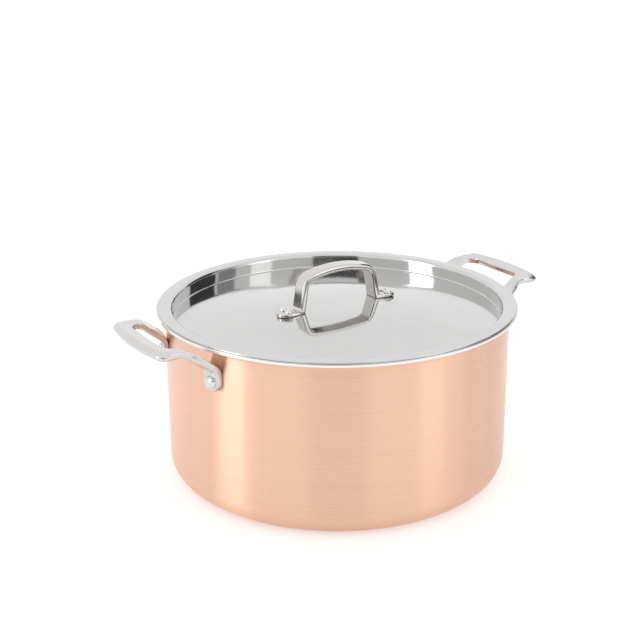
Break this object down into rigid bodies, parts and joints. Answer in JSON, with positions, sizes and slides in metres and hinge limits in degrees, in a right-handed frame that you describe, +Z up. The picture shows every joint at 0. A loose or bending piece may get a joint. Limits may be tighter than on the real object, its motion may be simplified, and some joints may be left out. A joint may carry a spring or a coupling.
{
  "type": "stockpot with lid",
  "caption": "Two-handled copper stockpot with a steel lining and a recessed, domed steel lid that lifts off by an arched strap handle.",
  "frame": {"origin": "centre of the base's resting face", "axes": "+Z up along the pot's axis, +X along the side handles towards the right one, -Y the front"},
  "size_m": [0.353, 0.28, 0.1659],
  "materials": {
    "copper": "brushed",
    "aluminium_core": "satin",
    "steel_lining": "brushed",
    "cast_handle": "satin",
    "polished_lid": "polished",
    "lid_handle": "polished",
    "rivets": "polished"
  },
  "bodies": {
    "pot": {"copper_shell": "copper", "aluminium_core": "aluminium_core", "steel_lining": "steel_lining", "left_handle": "cast_handle", "right_handle": "cast_handle", "left_handle_front_rivet": "rivets", "left_handle_back_rivet": "rivets", "right_handle_front_rivet": "rivets", "right_handle_back_rivet": "rivets"},
    "lid": {"lid_pan": "polished_lid", "lid_handle": "lid_handle", "lid_left_front_rivet": "rivets", "lid_left_back_rivet": "rivets", "lid_right_front_rivet": "rivets", "lid_right_back_rivet": "rivets"}
  },
  "joints": [
    {"name": "lid_lift", "type": "slide", "parent": "pot", "child": "lid", "axis": [0, 0, 1], "range_m": [0, 0.1]}
  ]
}
